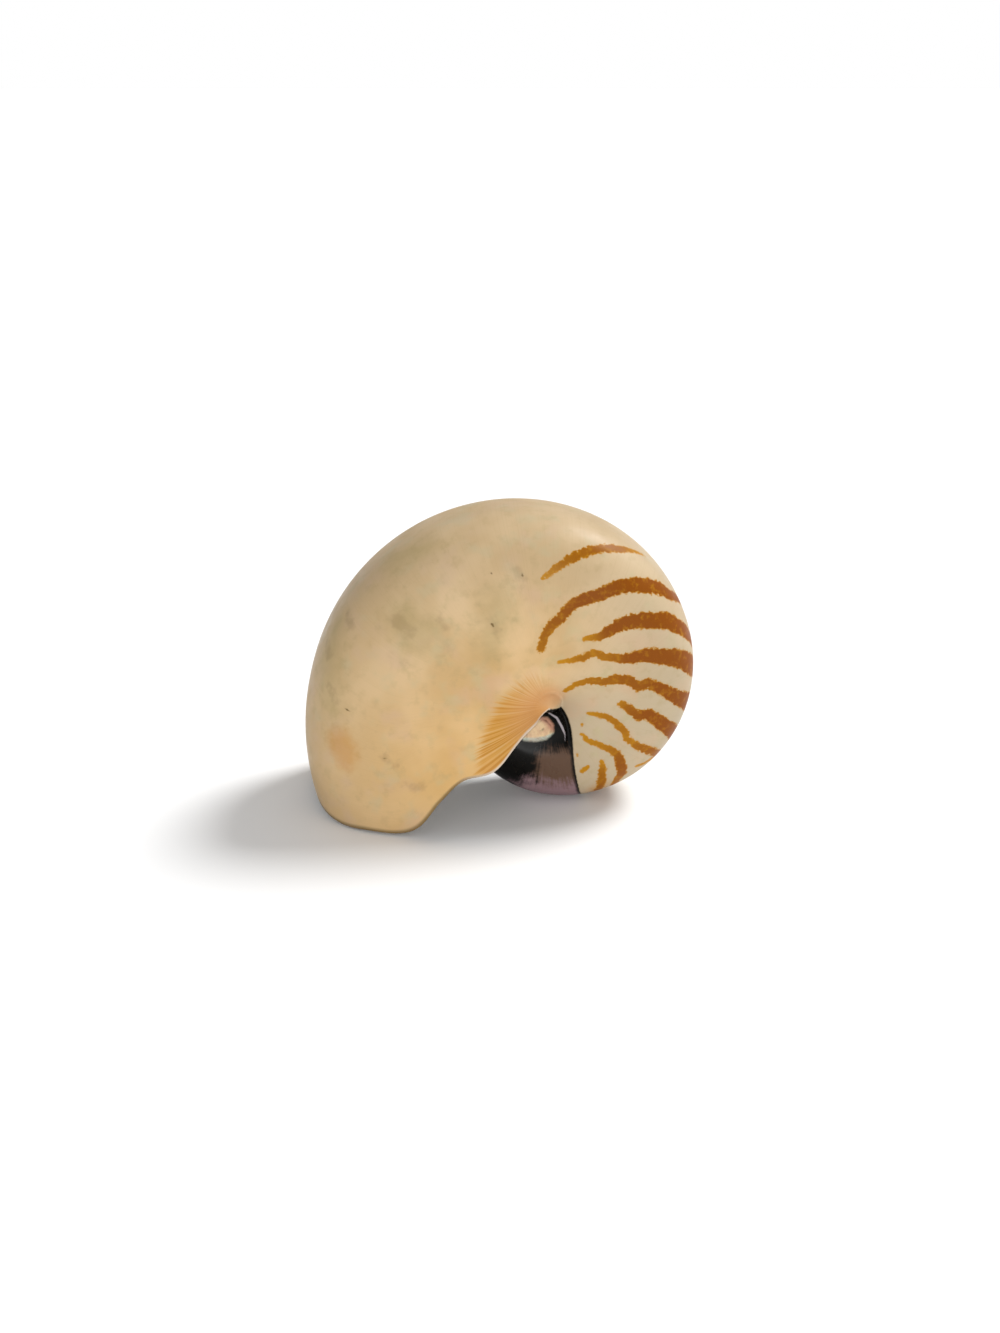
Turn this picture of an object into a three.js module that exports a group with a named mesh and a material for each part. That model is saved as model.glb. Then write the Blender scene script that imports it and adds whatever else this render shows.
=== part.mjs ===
// A chambered nautilus shell, standing the way it was set down: on the two side lobes of its
// aperture and on the keel of the whorl before. Millimetres, +Z up. The coiling axis runs along Y,
// the keel lies in the XZ plane, and angles are counted round the axis from +X towards +Z.
import * as THREE from 'three';

// Coiling: the keel's distance from the axis grows by the same share for each radian.
const KEEL_RADIUS = 100;
const KEEL_RADIUS_AT = 210;
const GROWTH_PER_RADIAN = 0.158;

// The whorl's cross-section, in shares of the keel's distance from the axis.
const HALF_WIDTH = 0.411;
const WIDEST_AT = 0.419;
const UMBILICAL_REACH = 0.481;
const VENTER_POWER = 3.0;
const UMBILICAL_POWER = 2.1;

// The lip, as [place across the shell from umbilicus (1) to keel (0), angle in degrees].
const LIP_EDGE = [
  [0.0, 201.8], [0.28, 210.9], [0.43, 218.6], [0.56, 215.1],
  [0.67, 212.8], [0.79, 220.2], [0.94, 213.8], [1.0, 216.0],
];
const LIP_GROWTH = 215;
const LIP_REACH = 90;

// The wall, and the body chamber that opens behind the lip.
const WALL = 2;
const LIP_WALL = 1.3;
const LIP_THINS_FROM = 195;
const COLUMN_RADIUS = 5.5;
const FILLET = 3;
const FILLET_POWER = 4;
const CHAMBER_LENGTH = 174;
const SEPTUM_DISH = 17;

// The knob of callus that closes the umbilicus: its top's distance from the mid-plane.
const KNOB_TOP = 24.5;
const KNOB_RINGS = [0.7, 0.4];

// The dark film's edge on the whorl before, and the low step along it beside the umbilicus.
const FILM_EDGE_ANGLE = -72;
const FILM_EDGE_SWING = 68;
const FILM_EDGE_RADIUS = 12.5;
const FILM_EDGE_POWER = 1.3;
const STEP_HEIGHT = 2.5;
const STEP_RUN = 3;
const STEP_FADE_FROM = 15;
const STEP_FADE_TO = 24;
const STEP_DEEP_FROM = -150;
const STEP_DEEP_TO = -190;

// How finely the surfaces are divided.
const ROW_STEP = 6;
const COLUMNS = 34;
const CLIFF_COLUMNS = 3;
const SEPTUM_ROWS = 5;
const TANGENT_STEP = 1e-3;
const TURN_ROWS = 360 / ROW_STEP;
const CHAMBER_ROWS = CHAMBER_LENGTH / ROW_STEP;
const OUTER_ROWS = TURN_ROWS + CHAMBER_ROWS;

const radians = THREE.MathUtils.degToRad;
const smoothstep = THREE.MathUtils.smoothstep;

/** A smooth curve through [x, y] points, with level slopes at its two ends. */
function through(points, x) {
  const last = points.length - 1;
  let n = 0;
  while (n < last - 1 && x > points[n + 1][0]) n += 1;
  const slope = (k) => {
    if (k === 0 || k === last) return 0;
    return (points[k + 1][1] - points[k - 1][1]) / (points[k + 1][0] - points[k - 1][0]);
  };
  const width = points[n + 1][0] - points[n][0];
  const t = (x - points[n][0]) / width;
  const rise = points[n + 1][1] - points[n][1];
  const bend = t * t * (3 - 2 * t);
  const start = slope(n) * width * t * (1 - t) * (1 - t);
  const end = slope(n + 1) * width * t * t * (1 - t);
  return points[n][1] + rise * bend + start - end;
}

/** The keel's distance from the axis at an angle. */
function keelRadius(angle) {
  return KEEL_RADIUS * Math.exp(GROWTH_PER_RADIAN * radians(angle - KEEL_RADIUS_AT));
}

/** A point of the cross-section at an angle about its widest place: [from axis, from mid-plane]. */
function sectionPoint(keel, turn) {
  const c = Math.cos(turn);
  const s = Math.sin(turn);
  const outward = c > 0;
  const reach = outward ? 1 - WIDEST_AT : UMBILICAL_REACH;
  const power = outward ? VENTER_POWER : UMBILICAL_POWER;
  const sum = Math.abs(c / reach) ** power + Math.abs(s / HALF_WIDTH) ** power;
  const length = sum ** (-1 / power);
  return [keel * (WIDEST_AT + length * c), keel * length * s];
}

/** The turn at which the cross-section's umbilical side comes to a distance from the axis. */
function turnAt(keel, fromAxis) {
  const inward = WIDEST_AT - fromAxis / keel;
  const share = 1 - (inward / UMBILICAL_REACH) ** UMBILICAL_POWER;
  return Math.PI - Math.atan2(HALF_WIDTH * share ** (1 / UMBILICAL_POWER), inward);
}

/** The angle at which the dark film on the whorl before ends, at a distance from the axis. */
function filmEdge(fromAxis) {
  const share = Math.exp(-((fromAxis / FILM_EDGE_RADIUS) ** FILM_EDGE_POWER));
  return FILM_EDGE_ANGLE + FILM_EDGE_SWING * share;
}

/** How much lower the surface lies beside the umbilicus, inside the edge of the dark film. */
function stepDown(angle, fromAxis) {
  const past = radians(filmEdge(fromAxis) - angle) * fromAxis;
  const over = smoothstep(past, 0, STEP_RUN);
  const near = 1 - smoothstep(fromAxis, STEP_FADE_FROM, STEP_FADE_TO);
  const shallow = smoothstep(angle, STEP_DEEP_TO, STEP_DEEP_FROM);
  return STEP_HEIGHT * over * near * shallow;
}

/** The angle of a growth line at a place across the shell: the last ones follow the lip. */
function lineAngle(growth, across) {
  const follow = smoothstep(growth, LIP_GROWTH - LIP_REACH, LIP_GROWTH);
  return growth + (through(LIP_EDGE, Math.abs(across)) - LIP_GROWTH) * follow;
}

/** Puts a point at an angle round the axis. */
function place(angle, fromAxis, sideways) {
  const a = radians(angle);
  return new THREE.Vector3(fromAxis * Math.cos(a), sideways, fromAxis * Math.sin(a));
}

/** The outside, at a growth line and a place across from -1 to 1. */
function outside(growth, across) {
  const angle = lineAngle(growth, across);
  const keel = keelRadius(angle);
  const [fromAxis, sideways] = sectionPoint(keel, across * turnAt(keel, COLUMN_RADIUS));
  const down = stepDown(angle, fromAxis) * Math.sign(across);
  return place(angle, fromAxis, sideways - down);
}

/** The inside of the wall, at a growth line and a place across from -1 to 1. */
function inside(growth, across) {
  const whole = keelRadius(growth);
  const reach = turnAt(whole, COLUMN_RADIUS + WALL + FILLET) / turnAt(whole, COLUMN_RADIUS);
  const over = across * (1 - (1 - reach) * across ** FILLET_POWER);
  const angle = lineAngle(growth, over);
  const keel = keelRadius(angle);
  const turn = over * turnAt(keel, COLUMN_RADIUS);
  const [fromAxis, sideways] = sectionPoint(keel, turn);
  const [aheadFromAxis, aheadSideways] = sectionPoint(keel, turn + TANGENT_STEP);
  const along = new THREE.Vector2(aheadFromAxis - fromAxis, aheadSideways - sideways).normalize();
  const thin = smoothstep(growth, LIP_THINS_FROM, LIP_GROWTH);
  const wall = THREE.MathUtils.lerp(WALL, LIP_WALL, thin);
  return place(angle, fromAxis - along.y * wall, sideways + along.x * wall);
}

/** Vertices and triangles of one closed skin. */
class Skin {
  constructor() {
    this.points = [];
    this.triangles = [];
  }

  add(point) {
    this.points.push(point);
    return this.points.length - 1;
  }

  triangle(a, b, c) {
    if (a !== b && b !== c && c !== a) this.triangles.push(a, b, c);
  }

  quad(a, b, c, d) {
    this.triangle(a, c, b);
    this.triangle(a, d, c);
  }

  /** Joins two rows of vertices that have the same number of columns. */
  join(row, next) {
    for (let n = 0; n + 1 < row.length; n += 1) this.quad(row[n], next[n], next[n + 1], row[n + 1]);
  }

  geometry() {
    const geometry = new THREE.BufferGeometry().setFromPoints(this.points);
    geometry.setIndex(this.triangles);
    geometry.computeVertexNormals();
    return geometry;
  }
}

/** The rows of the outside, from deep in the body chamber round to the lip. */
function outerRows(skin) {
  const rows = [];
  for (let n = 0; n <= OUTER_ROWS; n += 1) {
    const growth = LIP_GROWTH - (OUTER_ROWS - n) * ROW_STEP;
    const row = [];
    for (let k = 0; k <= COLUMNS; k += 1) row.push(skin.add(outside(growth, (2 * k) / COLUMNS - 1)));
    if (n > 0) skin.join(rows[n - 1], row);
    rows.push(row);
  }
  return rows;
}

/** Vertices strictly between two others, on a curve that bends towards a third point. */
function between(skin, start, bend, end, count) {
  const curve = new THREE.QuadraticBezierCurve3(skin.points[start], bend, skin.points[end]);
  const inner = curve.getPoints(count).slice(1, -1);
  return inner.map((point) => skin.add(point));
}

/** The lip's outer edge, carried down beside the axis to the whorl before on both sides. */
function lipRow(skin, rows) {
  const lip = rows[OUTER_ROWS];
  const foot = rows[OUTER_ROWS - TURN_ROWS];
  const straight = (start, end) => {
    const middle = skin.points[start].clone().lerp(skin.points[end], 0.5);
    return between(skin, start, middle, end, CLIFF_COLUMNS);
  };
  const near = straight(foot[0], lip[0]);
  const far = straight(lip[COLUMNS], foot[COLUMNS]);
  return [foot[0], ...near, ...lip, ...far, foot[COLUMNS]];
}

/** A row inside the wall, whose two ends stand on the whorl before. */
function innerRow(skin, growth, foot) {
  const row = [];
  for (let k = 0; k <= COLUMNS; k += 1) row.push(skin.add(inside(growth, (2 * k) / COLUMNS - 1)));
  const corner = (end) => {
    const point = skin.points[end];
    const share = (COLUMN_RADIUS + WALL) / Math.hypot(point.x, point.z);
    return new THREE.Vector3(point.x * share, point.y, point.z * share);
  };
  const first = row[0];
  const last = row[COLUMNS];
  const near = between(skin, foot[0], corner(first), first, CLIFF_COLUMNS);
  const far = between(skin, last, corner(last), foot[COLUMNS], CLIFF_COLUMNS);
  return [foot[0], ...near, ...row, ...far, foot[COLUMNS]];
}

/** The rounded front of the lip, half-way through the wall. */
function rimRow(skin, outerEdge, innerEdge) {
  return outerEdge.map((index, n) => {
    if (index === innerEdge[n]) return index;
    const middle = skin.points[index].clone().lerp(skin.points[innerEdge[n]], 0.5);
    const radius = Math.hypot(middle.x, middle.z);
    const forward = new THREE.Vector3(-middle.z / radius, 0, middle.x / radius);
    return skin.add(middle.addScaledVector(forward, LIP_WALL / 2));
  });
}

/** The last septum: a dish across the chamber, hollow towards the aperture. */
function addSeptum(skin, innerEdge, outerEdge) {
  const lastColumn = innerEdge.length - 1;
  const opposite = innerEdge.map((_, n) => outerEdge[THREE.MathUtils.clamp(n - CLIFF_COLUMNS, 0, COLUMNS)]);
  let row = innerEdge;
  for (let n = 1; n < SEPTUM_ROWS; n += 1) {
    const share = n / SEPTUM_ROWS;
    const next = innerEdge.map((index, k) => {
      if (index === opposite[k]) return index;
      const point = skin.points[index].clone().lerp(skin.points[opposite[k]], share);
      const dish = Math.sin(Math.PI * share) * Math.sin((Math.PI * k) / lastColumn);
      const back = radians(SEPTUM_DISH * dish);
      return skin.add(point.applyAxisAngle(new THREE.Vector3(0, 1, 0), back));
    });
    skin.join(row, next);
    row = next;
  }
  skin.join(row, opposite);
}

/** Closes the hole that a loop of vertices leaves round the axis with a knob, on side -1 or 1. */
function addKnob(skin, loop, side) {
  const top = new THREE.Vector3(0, side * KNOB_TOP, 0);
  const scaled = (index, share) => {
    const point = skin.points[index];
    const height = THREE.MathUtils.lerp(top.y, point.y, share * share);
    return skin.add(new THREE.Vector3(point.x * share, height, point.z * share));
  };
  let ring = [...loop, loop[0]];
  KNOB_RINGS.forEach((share) => {
    const next = loop.map((index) => scaled(index, share));
    next.push(next[0]);
    skin.join(ring, next);
    ring = next;
  });
  const hub = skin.add(top);
  loop.forEach((_, n) => skin.triangle(ring[n], ring[n + 1], hub));
}

function shellGeometry() {
  const skin = new Skin();
  const rows = outerRows(skin);
  const outerEdge = lipRow(skin, rows);

  let inner = innerRow(skin, LIP_GROWTH, rows[OUTER_ROWS - TURN_ROWS]);
  const rim = rimRow(skin, outerEdge, inner);
  skin.join(outerEdge, rim);
  skin.join(rim, inner);
  for (let n = 1; n <= CHAMBER_ROWS; n += 1) {
    const next = innerRow(skin, LIP_GROWTH - n * ROW_STEP, rows[CHAMBER_ROWS - n]);
    skin.join(inner, next);
    inner = next;
  }
  addSeptum(skin, inner, rows[0]);

  const turn = rows.slice(CHAMBER_ROWS);
  const nearUp = turn.map((row) => row[0]);
  const farDown = turn.map((row) => row[COLUMNS]).reverse();
  const nearCliff = outerEdge.slice(1, CLIFF_COLUMNS).reverse();
  const farCliff = outerEdge.slice(COLUMNS + CLIFF_COLUMNS + 1, -1).reverse();
  addKnob(skin, [...nearUp, ...nearCliff], -1);
  addKnob(skin, [...farDown, ...farCliff], 1);
  return skin.geometry();
}

const shellMaterial = new THREE.MeshStandardMaterial({ color: '#d8bd93', roughness: 0.42, metalness: 0 });
const shell = new THREE.Mesh(shellGeometry(), shellMaterial);
shell.name = 'shell';

// The origin is the middle of the floor under the shell.
shell.geometry.computeBoundingBox();
const box = shell.geometry.boundingBox;
shell.position.set(-(box.min.x + box.max.x) / 2, -(box.min.y + box.max.y) / 2, -box.min.z);

const nautilusShell = new THREE.Group();
nautilusShell.add(shell);

export default nautilusShell;
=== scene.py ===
"""A chambered nautilus shell, standing on its aperture's side lobes and the whorl before.

The coil is grown here again from the same sizes as its plain solid, in a fine mesh, and dressed as
real shell: a cream outer layer with rust stripes, a black film on the whorl before, and nacre in
the body chamber. Lengths are millimetres about the coiling axis until a mesh is made, and angles
are degrees round the axis, from +X towards +Z.
"""

import logging
import math
from dataclasses import dataclass, field
from enum import Enum

import bpy
import numpy as np
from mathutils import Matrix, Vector
from mathutils.bvhtree import BVHTree

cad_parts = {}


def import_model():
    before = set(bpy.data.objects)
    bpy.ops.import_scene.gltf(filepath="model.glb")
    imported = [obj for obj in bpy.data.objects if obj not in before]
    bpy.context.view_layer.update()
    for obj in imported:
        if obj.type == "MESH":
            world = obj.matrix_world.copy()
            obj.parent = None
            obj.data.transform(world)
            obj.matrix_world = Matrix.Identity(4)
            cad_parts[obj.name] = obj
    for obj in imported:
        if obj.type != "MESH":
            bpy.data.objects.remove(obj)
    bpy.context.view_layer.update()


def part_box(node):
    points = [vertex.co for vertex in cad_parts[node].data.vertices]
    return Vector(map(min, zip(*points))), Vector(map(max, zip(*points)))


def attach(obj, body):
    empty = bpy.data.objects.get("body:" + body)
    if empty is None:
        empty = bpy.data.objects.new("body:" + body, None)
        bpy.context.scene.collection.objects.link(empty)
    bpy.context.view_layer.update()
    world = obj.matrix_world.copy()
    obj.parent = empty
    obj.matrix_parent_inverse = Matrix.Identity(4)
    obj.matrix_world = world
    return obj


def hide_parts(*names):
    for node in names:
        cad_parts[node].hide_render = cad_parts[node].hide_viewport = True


LOG = logging.getLogger("nautilus")
MM = 0.001
PHOTO_WIDTH = 1000
PHOTO_HEIGHT = 1333
SENSOR_WIDTH = 36.0
SHELL_NODE = "shell"
TANGENT_STEP = 1e-3

Array = np.ndarray
Pixel = tuple[float, float]
Span = tuple[float, float]


def smoothstep(low: float, high: float, value: Array) -> Array:
    """An S-shaped rise from 0 to 1.

    Args:
        low: Where the rise starts.
        high: Where it ends.
        value: The values to map.

    Returns:
        The mapped values, from 0 to 1.
    """
    t = np.clip((np.asarray(value, float) - low) / (high - low), 0.0, 1.0)
    return t * t * (3 - 2 * t)


def through(points: tuple[Span, ...], x: Array) -> Array:
    """A smooth curve through (x, y) points, with level slopes at its two ends.

    Args:
        points: The points, in order of x.
        x: Where the curve is read.

    Returns:
        The curve's heights.
    """
    px, py = np.array(points, float).T
    slopes = np.zeros(len(px))
    slopes[1:-1] = (py[2:] - py[:-2]) / (px[2:] - px[:-2])
    x = np.asarray(x, float)
    n = np.clip(np.searchsorted(px, x, side="left") - 1, 0, len(px) - 2)
    width = px[n + 1] - px[n]
    t = (x - px[n]) / width
    rise = (py[n + 1] - py[n]) * t * t * (3 - 2 * t)
    start = slopes[n] * width * t * (1 - t) ** 2
    end = slopes[n + 1] * width * t * t * (1 - t)
    return py[n] + rise + start - end


@dataclass(frozen=True)
class Coil:
    """The coil's growth and cross-section, the lip's outline and the low step beside the axis."""

    keel_radius: float = 100.0
    keel_radius_at: float = 210.0
    growth_per_radian: float = 0.158
    half_width: float = 0.411
    widest_at: float = 0.419
    umbilical_reach: float = 0.481
    venter_power: float = 3.0
    umbilical_power: float = 2.1
    lip_edge: tuple[Span, ...] = (
        (0.0, 201.8), (0.28, 210.9), (0.43, 218.6), (0.56, 215.1),
        (0.67, 212.8), (0.79, 220.2), (0.94, 213.8), (1.0, 216.0),
    )
    lip_growth: float = 215.0
    lip_reach: float = 90.0
    column_radius: float = 5.5
    film_edge_angle: float = -72.0
    film_edge_swing: float = 68.0
    film_edge_radius: float = 12.5
    film_edge_power: float = 1.3
    step_height: float = 2.5
    step_profile: tuple[Span, ...] = ((0.0, 0.0), (0.9, 0.55), (1.7, 0.42), (3.2, 1.0))
    step_fade: Span = (15.0, 24.0)
    step_deep: Span = (-190.0, -150.0)

    def keel(self, angle: Array) -> Array:
        """The keel's distance from the axis at an angle."""
        turned = np.radians(np.asarray(angle, float) - self.keel_radius_at)
        return self.keel_radius * np.exp(self.growth_per_radian * turned)

    def section(self, keel: Array, turn: Array) -> tuple[Array, Array]:
        """A point of the cross-section, at an angle about its widest place.

        Args:
            keel: The keel's distance from the axis.
            turn: The angle about the widest place, in radians, 0 at the keel.

        Returns:
            The distances from the axis and from the mid-plane.
        """
        c, s = np.cos(turn), np.sin(turn)
        reach = np.where(c > 0, 1 - self.widest_at, self.umbilical_reach)
        power = np.where(c > 0, self.venter_power, self.umbilical_power)
        length = (np.abs(c / reach) ** power + np.abs(s / self.half_width) ** power) ** (-1 / power)
        return keel * (self.widest_at + length * c), keel * length * s

    def turn_at(self, keel: Array, from_axis: float) -> Array:
        """The turn at which the cross-section's umbilical side comes to a distance from the axis.

        Args:
            keel: The keel's distance from the axis.
            from_axis: The distance to come to.

        Returns:
            The turn about the widest place, in radians.
        """
        inward = self.widest_at - from_axis / keel
        share = 1 - (inward / self.umbilical_reach) ** self.umbilical_power
        side = self.half_width * share ** (1 / self.umbilical_power)
        return np.pi - np.arctan2(side, inward)

    def past_film_edge(self, angle: Array, from_axis: Array) -> Array:
        """How far inside the dark film's edge places lie.

        Args:
            angle: Angles.
            from_axis: Distances from the axis.

        Returns:
            The millimetres inside it.
        """
        reach = (from_axis / self.film_edge_radius) ** self.film_edge_power
        turn = self.film_edge_angle + self.film_edge_swing * np.exp(-reach) - angle
        return np.radians(turn) * from_axis

    def step_down(self, angle: Array, from_axis: Array) -> Array:
        """How much lower the surface lies inside the film's edge, beside the umbilicus.

        Args:
            angle: Angles.
            from_axis: Distances from the axis.

        Returns:
            The depths.
        """
        past = np.clip(self.past_film_edge(angle, from_axis), 0.0, self.step_profile[-1][0])
        over = through(self.step_profile, past)
        near = 1 - smoothstep(*self.step_fade, from_axis)
        return self.step_height * over * near * smoothstep(*self.step_deep, angle)

    def line_angle(self, growth: Array, across: Array) -> Array:
        """The angle of a growth line at a place across the shell: the last ones follow the lip."""
        follow = smoothstep(self.lip_growth - self.lip_reach, self.lip_growth, growth)
        return growth + (through(self.lip_edge, np.abs(across)) - self.lip_growth) * follow

    def place(self, angle: Array, from_axis: Array, sideways: Array) -> Array:
        """Points at an angle round the axis, as rows of x, y and z."""
        a = np.radians(angle)
        return np.stack([from_axis * np.cos(a), sideways, from_axis * np.sin(a)], axis=-1)

    def outside(self, growth: Array, across: Array) -> Array:
        """Points of the outside.

        Args:
            growth: The growth lines' angles at the keel.
            across: Places across the shell, from -1 to 1.

        Returns:
            The points.
        """
        angle = self.line_angle(growth, across)
        keel = self.keel(angle)
        from_axis, sideways = self.section(keel, across * self.turn_at(keel, self.column_radius))
        down = self.step_down(angle, from_axis) * np.sign(across)
        return self.place(angle, from_axis, sideways - down)

    def address(self, point: Array) -> tuple[float, float]:
        """The angle and the place across of a point on the visible outside.

        Args:
            point: The point.

        Returns:
            The angle, in the last turn up to the lip, and the place across from -1 to 1.
        """
        x, y, z = point
        angle = math.degrees(math.atan2(z, x))
        if angle < self.lip_growth - 360:
            angle += 360
        keel = float(self.keel(angle))
        from_axis = math.hypot(x, z)
        turn = math.atan2(abs(y) / keel, from_axis / keel - self.widest_at)
        across = turn / float(self.turn_at(keel, self.column_radius))
        return angle, math.copysign(min(across, 1.0), y)


@dataclass(frozen=True)
class PhotoCamera:
    """The photograph's camera, found by fitting the coil to the photograph's outline."""

    azimuth: float = -1.96
    elevation: float = 21.05
    distance: float = 600.0
    pixels_per_mm: float = 2.565
    axis_pixel: Pixel = (545.2, 685.0)

    def axes(self) -> tuple[Array, Array, Array]:
        """The camera's directions.

        Returns:
            Its right, up and forward.
        """
        a, e = math.radians(self.azimuth), math.radians(self.elevation)
        right = np.array([math.cos(a), math.sin(a), 0.0])
        forward = np.array([-math.sin(a) * math.cos(e), math.cos(a) * math.cos(e), -math.sin(e)])
        return right, np.cross(right, forward), forward

    def position(self) -> Array:
        """Where the camera stands.

        Returns:
            Its place, in millimetres about the coiling axis.
        """
        right, up, forward = self.axes()
        aside = (self.axis_pixel[0] - PHOTO_WIDTH / 2) / self.pixels_per_mm
        below = (self.axis_pixel[1] - PHOTO_HEIGHT / 2) / self.pixels_per_mm
        return -forward * self.distance - right * aside + up * below

    def ray(self, pixel: Pixel) -> Array:
        """The direction in which a pixel of the photograph looks.

        Args:
            pixel: The pixel, from the top left.

        Returns:
            The direction, of length 1.
        """
        right, up, forward = self.axes()
        focal = self.pixels_per_mm * self.distance
        aside = (pixel[0] - PHOTO_WIDTH / 2) / focal
        below = (pixel[1] - PHOTO_HEIGHT / 2) / focal
        direction = forward + right * aside - up * below
        return direction / np.linalg.norm(direction)

    def build(self, axis: Vector) -> None:
        """Adds the camera to the scene.

        Args:
            axis: The middle of the coiling axis, in metres.
        """
        data = bpy.data.cameras.new("photo_camera")
        data.sensor_fit = "HORIZONTAL"
        data.sensor_width = SENSOR_WIDTH
        data.lens = SENSOR_WIDTH * self.pixels_per_mm * self.distance / PHOTO_WIDTH
        camera = bpy.data.objects.new("photo_camera", data)
        bpy.context.collection.objects.link(camera)
        camera.location = axis + Vector(self.position()) * MM
        forward = Vector(self.axes()[2])
        camera.rotation_euler = forward.to_track_quat("-Z", "Y").to_euler()
        bpy.context.scene.camera = camera


@dataclass(frozen=True)
class Stroke:
    """One painted mark: where its middle line runs in the photograph, and how wide it is.

    The widths are millimetres, spread evenly from the first point to the last. A stripe that
    crosses the keel goes on over it to its twin on the far flank.
    """

    line: tuple[Pixel, ...]
    widths: tuple[float, ...]
    crosses_keel: bool = False


FLANK_STROKES = {"stripe": (
    Stroke(((543, 578), (551, 572), (562, 564), (576, 556), (593, 550), (610, 548), (622, 549),
            (633, 551), (645, 556)), (1.8, 3.2, 3.8, 3.4, 1.4)),
    Stroke(((541, 649), (544, 638), (551, 626), (561, 618), (571, 606), (582, 600), (599, 595),
            (616, 588), (633, 585), (650, 586), (662, 589), (670, 595), (679, 600)),
           (3.2, 3.9, 4.6, 5.6, 6.0, 4.4), True),
    Stroke(((584, 639), (599, 637), (610, 631), (622, 624), (639, 621), (656, 621), (668, 621),
            (679, 627), (690, 637)), (2.0, 4.8, 6.4, 6.6, 5.4), True),
    Stroke(((559, 662), (570, 661), (582, 658), (594, 653), (605, 657), (622, 659), (633, 658),
            (645, 655), (662, 657), (677, 658), (690, 664)), (1.5, 3.3, 3.0, 5.0, 6.6, 8.0), True),
    Stroke(((565, 691), (577, 684), (589, 681), (605, 682), (616, 679), (630, 681), (638, 687),
            (648, 683), (659, 688), (670, 694), (679, 698), (686, 701)),
           (2.0, 3.2, 4.0, 4.0, 5.2, 7.4), True),
    Stroke(((621, 704), (627, 707), (638, 716), (648, 714), (657, 720), (665, 726), (672, 731)),
           (2.8, 4.0, 4.8, 5.8, 6.4), True),
    Stroke(((587, 713), (594, 714), (605, 716), (616, 723), (625, 732), (627, 739), (632, 742),
            (638, 746), (646, 749), (656, 753)), (1.2, 2.8, 3.2, 2.6, 3.6, 4.0), True),
    Stroke(((636, 766), (643, 764), (649, 760)), (1.6, 2.0, 2.0), True),
    Stroke(((582, 734), (587, 740), (600, 745), (610, 749), (618, 755), (621, 765), (622, 773),
            (616, 781)), (1.5, 2.4, 2.8, 4.0, 4.4, 3.4), True),
    Stroke(((602, 761), (602, 770), (601, 783)), (1.8, 3.2, 3.6), True),
    Stroke(((587, 767), (582, 771)), (1.9, 1.9)),
    Stroke(((582, 724), (582, 726)), (0.9, 0.9)),
    Stroke(((577, 754), (577, 756)), (0.9, 0.9)),
), "stain": (
    Stroke(((405, 622), (418, 636), (428, 628)), (14.0, 16.0, 12.0)),
    Stroke(((497, 602), (496, 622), (490, 650)), (12.0, 14.0, 10.0)),
    Stroke(((330, 640), (322, 680), (330, 720)), (10.0, 14.0, 10.0)),
    Stroke(((395, 560), (425, 548)), (10.0, 10.0)),
), "blush": (
    Stroke(((342, 755), (347, 768)), (12.0, 10.0)),
    Stroke(((596, 789), (604, 786)), (6.0, 4.0)),
), "smudge": (
    Stroke(((319, 656), (323, 671)), (2.0, 3.0)),
    Stroke(((341, 622), (348, 634)), (2.5, 3.5)),
    Stroke(((325, 698), (333, 711)), (2.0, 3.0)),
    Stroke(((440, 619), (445, 628)), (2.5, 1.5)),
    Stroke(((384, 752), (395, 757)), (3.0, 2.0)),
    Stroke(((397, 621), (408, 631)), (6.0, 5.0)),
    Stroke(((492, 619), (497, 632)), (3.0, 3.0)),
    Stroke(((517, 571), (523, 578)), (3.5, 2.5)),
    Stroke(((404, 778), (424, 784)), (2.0, 2.0)),
)}

SPOT_STROKES = {"mark": (
    Stroke(((343, 705), (350, 713)), (0.5, 0.8)),
    Stroke(((383, 758), (391, 757)), (0.8, 0.5)),
    Stroke(((491, 573), (491, 575)), (0.8, 0.8)),
    Stroke(((522, 574), (522, 576)), (1.0, 1.0)),
    Stroke(((492, 624), (493, 626)), (0.9, 0.9)),
), "callus": (
    Stroke(((541, 719), (547, 719), (552, 725), (552, 732), (546, 738), (536, 740), (524, 739),
            (531, 731), (538, 722), (541, 719)), (1.5, 1.5)),
    Stroke(((543, 724), (548, 728), (546, 733), (530, 737), (536, 730), (543, 724)), (3.4, 3.4)),
# Painted shade over the callus's top, under the step's rim.
), "callus_top_shade": (
    Stroke(((541, 718), (549, 721), (553, 728)), (1.6, 3.0, 2.4)),
# Painted highlight: a pale greenish band along the callus's lower edge.
), "callus_highlight_band": (
    Stroke(((522, 740), (534, 741), (545, 739), (555, 734)), (1.6, 2.2, 1.8, 1.2)),
# Painted highlight: a pale line along the film's step beside the umbilicus.
), "glint": (
    Stroke(((549, 713), (557, 718), (562, 727), (565, 734), (565, 741)), (0.5, 0.9, 0.9, 0.8, 0.4)),
)}


class Side(Enum):
    """The two flanks: the one that the photograph shows, and the far one."""

    NEAR = -1
    FAR = 1


class Zone(Enum):
    """The two materials of the shell, by their slot number."""

    OUTSIDE = 0
    NACRE = 1


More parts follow.
